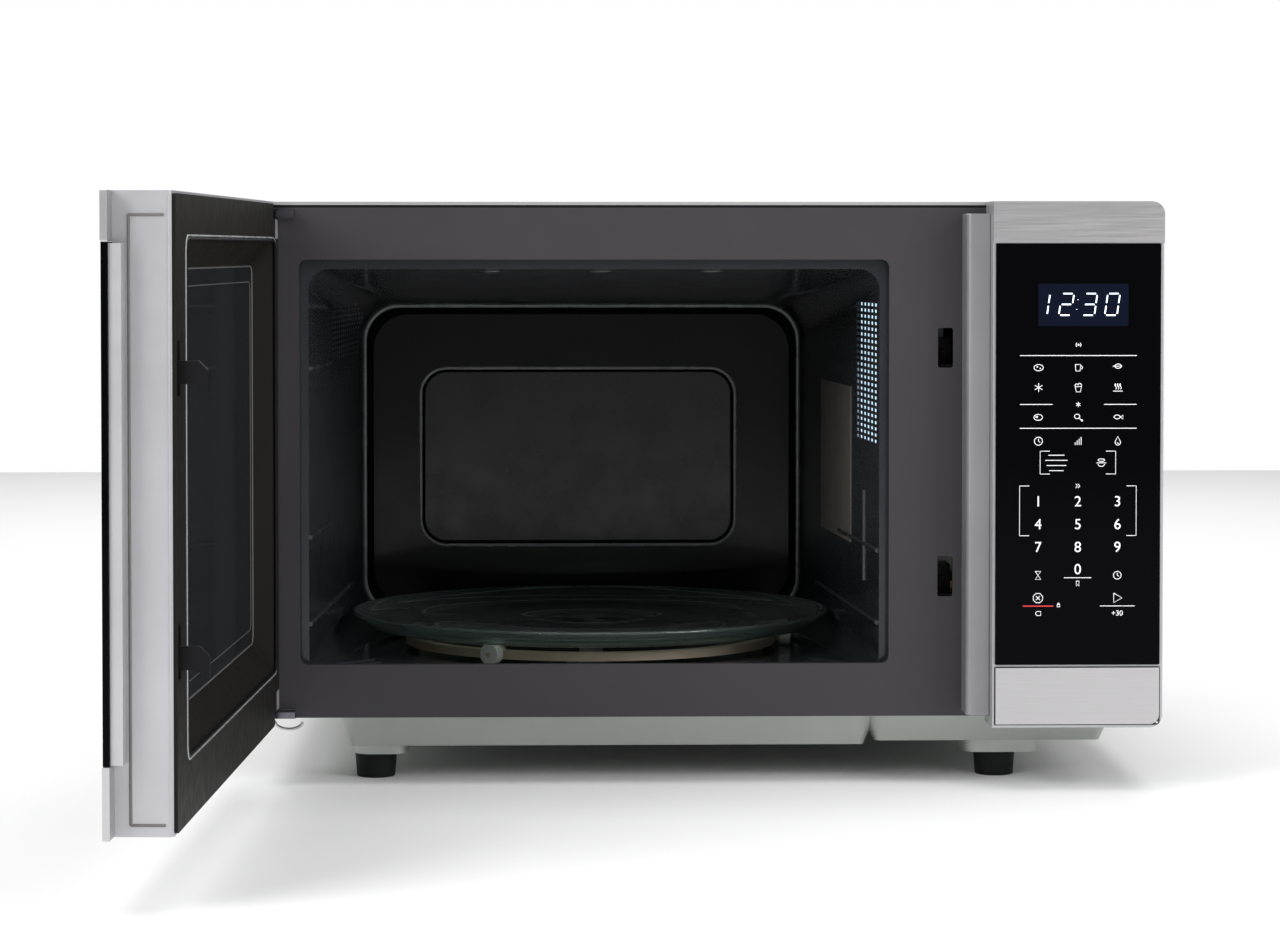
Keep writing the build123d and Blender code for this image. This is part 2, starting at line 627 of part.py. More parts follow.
def all_nodes():
    skin = cavity_skin()
    nodes = {
        "cabinet_cover": cabinet_cover(), "front_plate": front_plate(), "cavity_wrap": cavity_wrap(skin),
        "cavity_floor": cavity_floor(skin), "cavity_back": cavity_back(skin), "base_pan": base_pan(),
        "exhaust_vent": vent_plate(skin, exhaust_window, (13, 11), (15.0, 3.5), (11, 1.8)),
        "inlet_vent": vent_plate(skin, inlet_window, (6, 23), (15.0, 3.95), (11, 2.0)),
        "back_panel": back_panel(), "feet": feet(), "cord_gland": cord_gland(), "case_screws": case_screws(),
        "control_panel_frame": control_panel_frame(), "panel_side_rail": panel_side_rail(),
        "control_glass": control_glass(), "panel_top_strip": panel_top_strip(),
        "display_module": display_module(), "control_board": control_board(),
        "release_bar": release_bar(), "release_bar_face": release_bar_face(),
        "latch_board": latch_board(), "latch_lifter": latch_lifter(),
        "hinge_bracket_upper": hinge_bracket((357.5, 361.5), (345, 358)),
        "hinge_bracket_lower": hinge_bracket((44, 48), (47, 60.5)),
        "glass_tray": glass_tray(), "turntable_coupler": turntable_coupler(),
        "roller_ring": roller_ring(), "turntable_motor": turntable_motor(),
        "wave_window": wave_window(), "waveguide": waveguide(), "magnetron": magnetron(),
        "air_duct": air_duct(), "cavity_lamp": cavity_lamp(),
        "inverter_board": inverter_board(), "inverter_transformer": inverter_transformer(),
        "fan_shroud": fan_shroud(),
        "fan_motor": fan_motor(), "fan_rotor": fan_rotor(),
        "noise_filter_board": noise_filter_board(), "humidity_sensor": humidity_sensor(),
    }
    for i in range(3):
        nodes[f"roller_{i + 1}"] = roller(120 * i)
    for name, z in (("lower", 120), ("monitor", 160), ("upper", 264)):
        nodes["switch_" + name] = interlock_switch(z)
        nodes["plunger_" + name] = switch_plunger(z)
    door_parts = {
        "door_frame": door_frame(), "door_glass": door_glass(),
        "door_top_strip": door_strip((strip_z, cabinet_top)),
        "door_bottom_strip": door_strip((trim_z0, bar_z[1] - 0.2)),
        "door_pan": door_pan(), "inner_window": inner_window(),
        "choke_cover": choke_cover(), "hinge_bushes": hinge_bushes(), "door_screws": door_screws(),
        "latch_key": latch_key(), "latch_spring": latch_spring(),
    }
    for name, shape in door_parts.items():
        nodes[name] = place_door(shape)
    return nodes


os.makedirs("parts", exist_ok=True)
for name, shape in all_nodes().items():
    export_step(Pos(*origin, 0) * shape, f"parts/{name}.step")
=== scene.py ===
import json
import math

import bmesh
import bpy
from mathutils import Matrix, Vector


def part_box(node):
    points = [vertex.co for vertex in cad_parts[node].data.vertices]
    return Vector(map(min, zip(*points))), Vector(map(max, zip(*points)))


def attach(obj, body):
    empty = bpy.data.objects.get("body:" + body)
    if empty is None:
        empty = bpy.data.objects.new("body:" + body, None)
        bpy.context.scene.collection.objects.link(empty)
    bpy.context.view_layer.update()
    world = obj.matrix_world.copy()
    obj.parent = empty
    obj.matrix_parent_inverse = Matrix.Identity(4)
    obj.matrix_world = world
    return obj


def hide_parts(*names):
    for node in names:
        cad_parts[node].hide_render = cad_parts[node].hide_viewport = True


MM = 0.001

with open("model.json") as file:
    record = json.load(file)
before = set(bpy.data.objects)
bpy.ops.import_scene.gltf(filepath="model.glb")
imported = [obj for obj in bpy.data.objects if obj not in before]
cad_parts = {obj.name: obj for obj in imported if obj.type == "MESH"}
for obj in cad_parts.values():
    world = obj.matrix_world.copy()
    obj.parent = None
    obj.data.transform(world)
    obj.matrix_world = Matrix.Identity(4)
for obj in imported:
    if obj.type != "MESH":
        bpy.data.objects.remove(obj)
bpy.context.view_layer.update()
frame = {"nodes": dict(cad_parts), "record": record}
nodes = frame["nodes"]


# ---- places read from the frame, in metres ----
GLASS_LOW, GLASS_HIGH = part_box("control_glass")
GLASS_MIDDLE = (GLASS_LOW.x + GLASS_HIGH.x) / 2
TRAY_LOW, TRAY_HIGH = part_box("glass_tray")
TABLE = Vector(((TRAY_LOW.x + TRAY_HIGH.x) / 2, (TRAY_LOW.y + TRAY_HIGH.y) / 2, 0))
PLATE_LOW, PLATE_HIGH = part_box("front_plate")

# inside of the cavity: depths of its front step and back rim, and left, right and top at each
STEP_Y, RIM_Y = 0.012, 0.404
CAVITY_FRONT = (-0.2300, 0.1306, 0.3250)
CAVITY_REAR = (-0.2141, 0.1065, 0.2958)
CAVITY_FLOOR = 0.068
REAR_CORNER = 0.0258

# pitch of the holes in the door's microwave screen
SCREEN_PITCH = 0.0022

# the door's hinge line, and how far the door stands open at rest
HINGE = Vector((-0.2525, -0.007, 0))
DOOR_OPEN = math.radians(92.5)


# ---- materials ----
class Surface:
    """A Principled material with a few ways to add procedural detail."""

    def __init__(self, name, color, roughness, metallic=0.0, **sockets):
        self.material = bpy.data.materials.new(name)
        self.material.use_nodes = True
        self.tree = self.material.node_tree
        self.shader = self.tree.nodes["Principled BSDF"]
        self.color = color
        self.shader.inputs["Base Color"].default_value = (*color, 1)
        self.shader.inputs["Roughness"].default_value = roughness
        self.shader.inputs["Metallic"].default_value = metallic
        for socket, value in sockets.items():
            self.shader.inputs[socket.replace("_", " ")].default_value = value
        self.place = self.tree.nodes.new("ShaderNodeTexCoord").outputs["Object"]

    def node(self, kind, **values):
        made = self.tree.nodes.new(kind)
        for key, value in values.items():
            if key in made.inputs:
                made.inputs[key].default_value = value
            else:
                setattr(made, key, value)
        return made

    def link(self, a, b):
        self.tree.links.new(a, b)

    def stretched(self, scale):
        """Object coordinates scaled by a different amount along each axis."""
        mapping = self.node("ShaderNodeMapping", Scale=scale)
        self.link(self.place, mapping.inputs["Vector"])
        return mapping.outputs["Vector"]

    def noise(self, scale, detail=3.0, stretch=None):
        texture = self.node("ShaderNodeTexNoise", Scale=scale, Detail=detail)
        self.link(self.stretched(stretch) if stretch else self.place, texture.inputs["Vector"])
        return texture.outputs["Fac"]

    def cells(self, scale):
        texture = self.node("ShaderNodeTexVoronoi", Scale=scale)
        self.link(self.place, texture.inputs["Vector"])
        return texture.outputs["Distance"]

    def ramp(self, value, stops):
        ramp = self.node("ShaderNodeValToRGB")
        elements = ramp.color_ramp.elements
        while len(elements) < len(stops):
            elements.new(0.5)
        for element, (position, color) in zip(elements, stops):
            element.position = position
            element.color = (*color, 1)
        self.link(value, ramp.inputs["Fac"])
        return ramp.outputs["Color"]

    def tint(self, value, amount, span=(0.3, 0.7)):
        """Base colour that runs from darker to lighter by amount with value."""
        dark = [c * (1 - amount) for c in self.color]
        light = [min(1, c * (1 + amount)) for c in self.color]
        colors = self.ramp(value, [(span[0], dark), (span[1], light)])
        self.link(colors, self.shader.inputs["Base Color"])
        return self

    def gloss(self, value, smooth, rough, span=(0.3, 0.7)):
        """Roughness that runs from smooth to rough with value."""
        spread = self.node("ShaderNodeMapRange")
        limits = {"From Min": span[0], "From Max": span[1], "To Min": smooth, "To Max": rough}
        for key, number in limits.items():
            spread.inputs[key].default_value = number
        self.link(value, spread.inputs["Value"])
        self.link(spread.outputs["Result"], self.shader.inputs["Roughness"])
        return self

    def bump(self, value, strength, distance):
        bump = self.node("ShaderNodeBump", Strength=strength, Distance=distance)
        self.link(value, bump.inputs["Height"])
        self.link(bump.outputs["Normal"], self.shader.inputs["Normal"])
        return self


def painted(name, color, roughness, peel=700.0, depth=0.03, **sockets):
    """Sprayed and baked paint with orange peel."""
    paint = Surface(name, color, roughness, **sockets)
    paint.tint(paint.noise(9, 4), 0.05)
    paint.gloss(paint.noise(60, 4), roughness * 0.88, roughness * 1.15)
    return paint.bump(paint.noise(peel, 2), depth, 0.0004)


def brushed(name, color, roughness, along="X", grain=2200.0):
    """Steel with fine grain that runs along one axis."""
    stretch = {"X": (0.012, 1, 1), "Y": (1, 0.012, 1), "Z": (1, 1, 0.012)}[along]
    steel = Surface(name, color, roughness, 1.0)
    lines = steel.noise(grain, 5, stretch)
    steel.tint(lines, 0.05, (0.25, 0.75))
    steel.gloss(lines, roughness * 0.85, roughness * 1.15)
    return steel.bump(lines, 0.05, 0.0002)


def moulded(name, color, roughness, grain=2600.0, depth=0.05, **sockets):
    """Moulded plastic with a fine even texture."""
    plastic = Surface(name, color, roughness, **sockets)
    plastic.tint(plastic.noise(14, 4), 0.05)
    plastic.gloss(plastic.noise(120, 3), roughness * 0.9, roughness * 1.12)
    return plastic.bump(plastic.noise(grain, 2), depth, 0.0003)


def enamel(name, color, roughness, shine=0.3):
    """Dark vitreous enamel with fine pale flecks."""
    glaze = Surface(name, color, roughness, Specular_IOR_Level=shine)
    glaze.shader.inputs["Coat Weight"].default_value = 0.12
    glaze.shader.inputs["Coat Roughness"].default_value = 0.08
    flecks = glaze.cells(900)
    pale = [c * 4 + 0.02 for c in color]
    glaze.link(glaze.ramp(flecks, [(0.06, pale), (0.16, color)]), glaze.shader.inputs["Base Color"])
    glaze.gloss(glaze.noise(40, 4), roughness * 0.8, roughness * 1.5)
    return glaze.bump(glaze.noise(260, 3), 0.05, 0.0006)


def black_glass(name, color, shine=0.08):
    """Dark glass that hides what is behind it."""
    glass = Surface(name, color, 0.05, Specular_IOR_Level=shine)
    return glass.gloss(glass.noise(30, 4), 0.03, 0.08)


def screened_glass(name, color, shine=0.05):
    """Dark glass with the fine holes of the door's microwave screen showing through it."""
    glass = black_glass(name, color, shine)
    split = glass.node("ShaderNodeSeparateXYZ")
    glass.link(glass.place, split.inputs["Vector"])
    waves = []
    for axis in ("Y", "Z"):
        steps = glass.node("ShaderNodeMath", operation="MULTIPLY")
        steps.inputs[1].default_value = 2 * math.pi / SCREEN_PITCH
        glass.link(split.outputs[axis], steps.inputs[0])
        wave = glass.node("ShaderNodeMath", operation="SINE")
        glass.link(steps.outputs[0], wave.inputs[0])
        waves.append(wave)
    dots = glass.node("ShaderNodeMath", operation="MULTIPLY")
    for wave, socket in zip(waves, dots.inputs):
        glass.link(wave.outputs[0], socket)
    pale = [c * 3 + 0.012 for c in color]
    colors = glass.ramp(dots.outputs[0], [(0.2, pale), (0.45, color)])
    glass.link(colors, glass.shader.inputs["Base Color"])
    return glass


def clear_glass(name, color, clear):
    """Pressed glass with a slightly wavy surface."""
    glass = Surface(name, color, 0.02, IOR=1.5, Transmission_Weight=clear)
    glass.tint(glass.noise(25, 3), 0.02)
    return glass.bump(glass.noise(50, 2), 0.04, 0.0005)


def glowing(name, color, strength):
    """A surface that gives off light: the display's own lit figures, and painted glow on the air duct in
    place of the cavity lamp's light.
    """
    lit = Surface(name, color, 0.4)
    lit.shader.inputs["Emission Color"].default_value = (*color, 1)
    lit.shader.inputs["Emission Strength"].default_value = strength
    return lit.tint(lit.noise(300, 2), 0.03)


def printed(name, color):
    """Screen-printed ink on the glass, with a faint painted glow."""
    ink = Surface(name, color, 0.5)
    ink.shader.inputs["Emission Color"].default_value = (*color, 1)
    ink.shader.inputs["Emission Strength"].default_value = 0.25
    return ink.tint(ink.noise(900, 2), 0.06)


SURFACES = {
    "case_paint": painted("case_paint", (0.33, 0.335, 0.33), 0.5, Specular_IOR_Level=0.2),
    "front_paint": painted("front_paint", (0.040, 0.037, 0.041), 0.42, 900, Specular_IOR_Level=0.3),
    "cavity_enamel": enamel("cavity_enamel", (0.027, 0.030, 0.036), 0.16),
    "zinc_steel": painted("zinc_steel", (0.40, 0.42, 0.40), 0.42, peel=160, Metallic=0.75),
    "trim_steel": brushed("trim_steel", (0.56, 0.55, 0.56), 0.34),
    "silver_plastic": moulded("silver_plastic", (0.47, 0.47, 0.49), 0.36, Metallic=0.5),
    "choke_plastic": moulded("choke_plastic", (0.015, 0.014, 0.013), 0.45,
                             depth=0.01, Specular_IOR_Level=0.05),
    "black_glass": black_glass("black_glass", (0.0015, 0.0015, 0.002), 0.03),
    "window_glass": screened_glass("window_glass", (0.003, 0.0035, 0.004), 0.002),
    "tray_glass": clear_glass("tray_glass", (0.76, 0.92, 0.87), 0.95),
    "mica": painted("mica", (0.155, 0.140, 0.125), 0.55, peel=240, depth=0.3),
    "black_plastic": moulded("black_plastic", (0.007, 0.007, 0.008), 0.42, Specular_IOR_Level=0.1),
    "white_plastic": moulded("white_plastic", (0.66, 0.65, 0.62), 0.40),
    "ring_plastic": moulded("ring_plastic", (0.45, 0.36, 0.27), 0.45),
    "display": black_glass("display", (0.006, 0.009, 0.022)),
    "board": moulded("board", (0.02, 0.10, 0.045), 0.35),
    "copper_winding": brushed("copper_winding", (0.60, 0.27, 0.12), 0.35, "Z", 900),
    "aluminium_part": brushed("aluminium_part", (0.62, 0.62, 0.63), 0.38, "Z"),
    "plated_steel": brushed("plated_steel", (0.55, 0.55, 0.57), 0.25, "Z"),
    "foot_rubber": moulded("foot_rubber", (0.005, 0.0055, 0.0055), 0.6, 1500, 0.2,
                           Specular_IOR_Level=0.2),
}
# painted shade: the back wall's enamel is the cavity's enamel, darkened as shade deep in the cavity
REAR_PAINTED_SHADE = enamel("rear_enamel_painted_shade", (0.0045, 0.0052, 0.0056), 0.16, 0.10)
# painted shade on the pressed panel's face: the same enamel, darkened less than the back wall round it
PANEL_PAINTED_SHADE = enamel("panel_enamel_painted_shade", (0.0085, 0.0085, 0.0095), 0.22, 0.28)
# painted glow: the air duct is no lamp, but glows so that its vents look lit by the cavity lamp
DUCT_PAINTED_GLOW = glowing("duct_painted_glow", (0.72, 0.86, 0.95), 0.55)
# painted shade: the side rail is the panel frame's silver plastic, darkened where its stepped side lies in
# shade
RAIL_PAINTED_SHADE = moulded("rail_plastic_painted_shade", (0.30, 0.30, 0.31), 0.40, Metallic=0.5)
# painted highlight: the cavity's enamel made lighter on the walls' beads and the ceiling's dimples
BEAD_PAINTED_HIGHLIGHT = enamel("bead_painted_highlight", (0.045, 0.049, 0.053), 0.20, 0.8)
# dark grey lines: painted shadow lines in the door's free edge channel, and the window's inner trim outlines
TRIM_AND_SHADOW_LINE = moulded("trim_and_shadow_line", (0.14, 0.135, 0.13), 0.35)
SCREEN_VIEW = screened_glass("screen_view", (0.0035, 0.0037, 0.004))
# painted highlight: pale enamel, so that the cavity's rolled rims and the door window surround's rim show as
# bright lines
RIM_PAINTED_HIGHLIGHT = enamel("rim_painted_highlight", (0.30, 0.315, 0.32), 0.25, 0.8)
HINGE_STEEL = brushed("hinge_steel", (0.16, 0.16, 0.18), 0.18, "Z")
# the inks' colours are print; their faint glow is painted light
WHITE_INK = printed("white_ink", (0.80, 0.80, 0.82))
RED_INK = printed("red_ink", (0.62, 0.03, 0.04))
DIGIT_GLOW = glowing("digit_glow", (0.80, 0.90, 1.0), 1.6)
# painted glow: bluish dark glass for the faint light of the display window round the figures
DISPLAY_PAINTED_GLOW = black_glass("display_window_painted_glow", (0.004, 0.006, 0.016))


def give(obj, surface):
    """Make the surface the object's only material."""
    obj.data.materials.clear()
    obj.data.materials.append(surface.material)
    for polygon in obj.data.polygons:
        polygon.material_index = 0


def dress_cad_nodes():
    """Each node's material from the record, apart from a few that get their own, painted shade or painted
    glow instead.
    """
    # painted shade: cavity_back, panel_side_rail and hinge_bushes get darker materials than their own;
    # painted glow: air_duct
    special = {"cavity_back": REAR_PAINTED_SHADE, "air_duct": DUCT_PAINTED_GLOW, "panel_side_rail": RAIL_PAINTED_SHADE,
               "hinge_bracket_upper": HINGE_STEEL, "hinge_bracket_lower": HINGE_STEEL,
               "hinge_bushes": SURFACES["black_plastic"]}
    # painted shade: the plungers are black so that the latch slots stay dark
    for position in ("lower", "monitor", "upper"):
        special["plunger_" + position] = SURFACES["black_plastic"]
    for part in frame["record"]["subparts"]:
        name = part["node"]
        give(nodes[name], special.get(name) or SURFACES[part["material_slot"]])


def soften_edges():
    """Small bevels, so that folded and moulded edges catch the light."""
    widths = {
        "door_frame": 0.7, "control_panel_frame": 0.7, "panel_side_rail": 0.8, "release_bar": 0.5,
        "cabinet_cover": 0.5, "door_top_strip": 0.5, "door_bottom_strip": 0.5, "latch_key": 0.5,
    }
    for name, width in widths.items():
        weld = nodes[name].modifiers.new("weld", "WELD")
        weld.merge_threshold = 0.00001
        bevel = nodes[name].modifiers.new("bevel", "BEVEL")
        bevel.width = width * MM
        bevel.segments = 3
        bevel.limit_method = "ANGLE"
        bevel.angle_limit = math.radians(40)
        bevel.use_clamp_overlap = True


# ---- mesh helpers ----
def new_piece(name, mesh, surface, body):
    """A visible piece that rides on the body; mesh is a mesh or a curve."""
    piece = bpy.data.objects.new(name, mesh)
    bpy.context.scene.collection.objects.link(piece)
    mesh.materials.append(surface.material)
    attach(piece, body)
    return piece


def mesh_from(bm, name, smooth=False):
    mesh = bpy.data.meshes.new(name)
    bmesh.ops.recalc_face_normals(bm, faces=bm.faces)
    bm.to_mesh(mesh)
    bm.free()
    for polygon in mesh.polygons:
        polygon.use_smooth = smooth
    return mesh


def turned(profile, centre, steps=160):
    """Closed ring or disc from (radius, height) points turned about a vertical axis."""
    bm = bmesh.new()
    sections = []
    for i in range(steps):
        a = 2 * math.pi * i / steps
        points = [(centre.x + r * math.cos(a), centre.y + r * math.sin(a), z) for r, z in profile]
        sections.append([bm.verts.new(point) for point in points])
    for i, section in enumerate(sections):
        other = sections[(i + 1) % steps]
        for j in range(len(profile)):
            k = (j + 1) % len(profile)
            bm.faces.new((section[j], other[j], other[k], section[k]))
    return bm


INK_FLATNESS = 0.1


def drawn(name, strokes, radius, surface, body, plane_y=None):
    """One curve piece of round bars, or with plane_y, of flat ink on that upright plane."""
    data = bpy.data.curves.new(name, "CURVE")
    data.dimensions = "3D"
    data.bevel_depth = radius
    data.bevel_resolution = 2
    data.use_fill_caps = True
    for points, closed in strokes:
        spline = data.splines.new("POLY")
        spline.points.add(len(points) - 1)
        for target, point in zip(spline.points, points):
            target.co = (*point, 1)
        spline.use_cyclic_u = closed
    piece = new_piece(name, data, surface, body)
    if plane_y is not None:
        piece.location.y = plane_y
        piece.scale.y = INK_FLATNESS
    return piece


def arc(x, z, rx, rz, start, end, steps=14):
    """Points of an upright ellipse's arc, from start to end in degrees."""
    angles = [math.radians(start + (end - start) * i / steps) for i in range(steps + 1)]
    return [(x + rx * math.cos(a), z + rz * math.sin(a)) for a in angles]


def ring(x, z, rx, rz):
    """Closed stroke round an ellipse."""
    return arc(x, z, rx, rz, 0, 345, 23), True


def rounded_path(x, z, radius, y):
    """Upright rectangle with round corners, as points at depth y."""
    left, right = x[0] + radius, x[1] - radius
    bottom, top = z[0] + radius, z[1] - radius
    points = []
    for cx, cz, start in ((right, top, 0), (left, top, 90), (left, bottom, 180), (right, bottom, 270)):
        corner = arc(cx, cz, radius, radius, start, start + 90, 8)
        points += [(px, y, pz) for px, pz in corner]
    return points, True


# ---- control panel prints, in mm from the glass's middle line and down from its top edge ----
PEN = 0.22 * MM


def on_glass(x, down):
    return (GLASS_MIDDLE + x * MM, 0.0, GLASS_HIGH.z - down * MM)


def bar(x0, x1, down):
    """Level stroke on the glass."""
    return [on_glass(x0, down), on_glass(x1, down)], False


def bracket(x, reach, top, bottom):
    """Square bracket on the glass, whose ends reach towards the keys it holds."""
    corners = ((x + reach, top), (x, top), (x, bottom), (x + reach, bottom))
    return [on_glass(*corner) for corner in corners], False


def open_line(*points):
    return list(points), False


def spoke(degrees):
    """Stroke across the middle of a symbol."""
    x, z = 0.5 * math.cos(math.radians(degrees)), 0.5 * math.sin(math.radians(degrees))
    return open_line((x, z), (-x, -z))


def wave(x):
    """Rising wave of two opposite bends."""
    return arc(x, 0.28, 0.09, 0.16, 270, 90, 6) + arc(x, -0.04, 0.09, 0.16, 90, -90, 6), False


# key symbols as strokes, about one unit high round (0, 0)
SYMBOLS = {
    "potato": [ring(0, 0, 0.62, 0.42), ring(-0.2, 0.1, 0.05, 0.05), ring(0.22, -0.1, 0.05, 0.05)],
    "cup": [open_line((-0.42, 0.42), (-0.34, -0.45), (0.22, -0.45), (0.3, 0.42), (-0.42, 0.42)),
            (arc(0.28, 0.02, 0.26, 0.22, 80, -80, 8), False)],
    "leaf": [(arc(0, -0.5, 0.7, 1.0, 45, 135, 10) + arc(0, 0.9, 0.7, 1.0, 225, 315, 10), True),
             open_line((-0.7, 0.2), (0.4, 0.2))],
    "frozen": [spoke(30), spoke(90), spoke(150)],
    "popcorn": [open_line((-0.36, 0.1), (-0.24, -0.5), (0.24, -0.5), (0.36, 0.1), (-0.36, 0.1)),
                (arc(-0.2, 0.22, 0.18, 0.2, 210, 10, 8), False),
                (arc(0.16, 0.24, 0.2, 0.24, 170, -30, 8), False)],
    "reheat": [wave(-0.28), wave(0), wave(0.28), open_line((-0.55, -0.42), (0.55, -0.42))],
    "steak": [ring(-0.05, 0, 0.58, 0.4), ring(-0.24, 0.06, 0.13, 0.1)],
    "poultry": [ring(-0.15, 0.12, 0.36, 0.3), open_line((0.1, -0.1), (0.42, -0.36)),
                ring(0.5, -0.42, 0.1, 0.1)],
    "fish": [(arc(-0.1, -0.3, 0.55, 0.6, 35, 145, 8) + arc(-0.1, 0.38, 0.55, 0.6, 215, 325, 8), True),
             open_line((0.35, 0.03), (0.68, 0.3), (0.68, -0.24), (0.35, 0.03))],
    "time": [ring(0, 0, 0.48, 0.48), open_line((0, 0.3), (0, 0), (0.2, -0.14))],
    "power": [open_line((-0.36, -0.45), (-0.36, -0.15)), open_line((-0.12, -0.45), (-0.12, 0.08)),
              open_line((0.12, -0.45), (0.12, 0.3)), open_line((0.36, -0.45), (0.36, 0.5))],
    "thaw": [(arc(0, -0.14, 0.32, 0.34, 150, 390, 12) + [(0, 0.55)], True),
             open_line((-0.12, -0.2), (0.1, -0.26))],
    "melt": [open_line((-0.6, 0.0), (0.6, 0.0)), ring(0, 0.34, 0.4, 0.16),
             (arc(0, -0.14, 0.4, 0.3, 180, 360), False)],
    "timer": [open_line((-0.34, 0.5), (0.34, 0.5), (-0.34, -0.5), (0.34, -0.5), (-0.34, 0.5))],
    "memory": [open_line((-0.24, 0.45), (0.24, 0.45), (0.24, -0.45), (0, -0.2), (-0.24, -0.45),
                         (-0.24, 0.45))],
    "stop": [(arc(0, 0, 0.52, 0.52, 22.5, 337.5, 7), True), open_line((-0.2, 0.2), (0.2, -0.2)),
             open_line((-0.2, -0.2), (0.2, 0.2))],
    "clear": [open_line((-0.5, 0), (-0.2, 0.4), (0.55, 0.4), (0.55, -0.4), (-0.2, -0.4), (-0.5, 0))],
    "start": [open_line((-0.36, 0.5), (0.5, 0), (-0.36, -0.5), (-0.36, 0.5))],
    "lock": [open_line((-0.3, 0.05), (0.3, 0.05), (0.3, -0.5), (-0.3, -0.5), (-0.3, 0.05)),
             (arc(0, 0.05, 0.2, 0.36, 180, 0, 8), False)],
    "sensor": [ring(0, 0, 0.12, 0.12), (arc(0, 0, 0.45, 0.45, 50, -50, 6), False),
               (arc(0, 0, 0.45, 0.45, 130, 230, 6), False)],
    "express": [open_line((x, 0.4), (x + 0.35, 0), (x, -0.4)) for x in (-0.45, 0.0)],
}

# columns of keys from the middle line; then each row's place down from the top, size and symbols
COLUMNS = (-24.7, 0.0, 24.7)
KEYS = (
    (62.7, 3.4, (None, "sensor", None)), (76.9, 4.6, ("potato", "cup", "leaf")),
    (89.2, 5.4, ("frozen", "popcorn", "reheat")), (99.7, 3.0, (None, "frozen", None)),
    (107.7, 4.6, ("steak", "poultry", "fish")), (122.5, 5.2, ("time", "power", "thaw")),
    (150.3, 3.2, (None, "express", None)), (205.9, 5.0, ("timer", None, "time")),
    (211.0, 3.4, (None, "memory", None)), (220.0, 6.0, ("stop", None, "start")),
    (229.6, 3.2, ("clear", None, None)),
)


def symbol(name, x, down, size):
    """A key symbol's strokes, placed on the glass."""
    return [([on_glass(x + size * px, down - size * pz) for px, pz in points], closed)
            for points, closed in SYMBOLS[name]]


def key_symbols():
    strokes = symbol("melt", 14.5, 136, 5.0) + symbol("lock", -11.9, 224.2, 2.6)
    for down, size, names in KEYS:
        for x, name in zip(COLUMNS, names):
            strokes += symbol(name, x, down, size) if name else []
    drawn("key_symbols", strokes, PEN, WHITE_INK, "oven", GLASS_LOW.y)


def key_rules():
    """Lines and brackets that group the keys, with the list beside the melt key."""
    edge = 36.3
    rules = [bar(-edge, edge, 69.4), bar(-edge, -16, 99.7), bar(16, edge, 99.7)]
    rules += [bar(-edge, edge, 114.5)]
    rules += [bracket(-23.6, 6, 128.7, 142.9), bracket(23.4, -6, 128.7, 142.9)]
    rules += [bracket(-edge, 6, 150.3, 181.2), bracket(edge, -6, 150.3, 181.2)]
    rules += [bar(-8.5, 8.5, 207.4), bar(14, 35.6, 225.0)]
    for i, indent in enumerate((2.5, 0.6, 1.4, 3.0)):
        rules.append(bar(-21 + indent, -6 - indent, 131.2 + 3.2 * i))
    drawn("key_rules", rules, PEN, WHITE_INK, "oven", GLASS_LOW.y)
    drawn("stop_rule", [bar(-34.1, -15, 225.0)], 0.35 * MM, RED_INK, "oven", GLASS_LOW.y)


def numeral(text, x, down, size):
    """Printed number as a thin text piece, centred on its place."""
    name = "numeral_" + text.strip("+")
    data = bpy.data.curves.new(name, "FONT")
    data.body = text
    data.align_x, data.align_y = "CENTER", "CENTER"
    data.size = size * MM
    data.extrude = 0.02 * MM
    piece = new_piece(name, data, WHITE_INK, "oven")
    piece.location = Vector(on_glass(x, down)) + Vector((0, GLASS_LOW.y, 0))
    piece.rotation_euler.x = math.radians(90)


def numerals():
    for i in range(9):
        numeral(str(i + 1), COLUMNS[i % 3], 160.2 + 14.2 * (i // 3), 9.2)
    numeral("0", 0, 202.4, 9.2)
    numeral("+30", 24.7, 229.6, 4.6)


SEGMENTS = {"0": "abcdef", "1": "bc", "2": "abged", "3": "abgcd"}


def display():
    """Slanted seven-segment figures behind the glass, with a faint painted glow as a window round them."""
    tall, wide, slant, gap = 13.4, 7.6, 0.14, 0.9
    half = tall / 2
    ends = {"a": ((0, tall), (wide, tall)), "b": ((wide, tall), (wide, half)),
            "c": ((wide, half), (wide, 0)), "d": ((0, 0), (wide, 0)), "e": ((0, half), (0, 0)),
            "f": ((0, tall), (0, half)), "g": ((0, half), (wide, half))}
    base = 44.4

    def lit(x, a, b):
        run = Vector(b) - Vector(a)
        run.normalize()
        tips = (Vector(a) + run * gap, Vector(b) - run * gap)
        return [on_glass(x + tip.x + slant * (tip.y - half), base - tip.y) for tip in tips], False

    strokes = []
    for digit, x in (("1", -26.3), ("2", -11.4), ("3", 3.1), ("0", 17.2)):
        strokes += [lit(x, *ends[segment]) for segment in SEGMENTS[digit]]
    for height in (3.6, 9.6):
        strokes.append(lit(-0.8, (0, height - gap - 0.1), (0, height + gap + 0.1)))
    drawn("display_figures", strokes, 0.43 * MM, DIGIT_GLOW, "oven", GLASS_LOW.y)
    window = [on_glass(x, down) for x, down in ((-25, 51), (31, 51), (31, 25), (-25, 25))]
    # painted glow: a bluish plate over the glass where the display's light shows round the figures
    plate("display_window", [(x, GLASS_LOW.y - 0.01 * MM, z) for x, _, z in window], DISPLAY_PAINTED_GLOW)


# ---- cavity pressings ----
LEFT, RIGHT = 0, 1


def wall_x(side, y):
    """Inside of the left or right wall at depth y."""
    t = (y - STEP_Y) / (RIM_Y - STEP_Y)
    return CAVITY_FRONT[side] + t * (CAVITY_REAR[side] - CAVITY_FRONT[side])


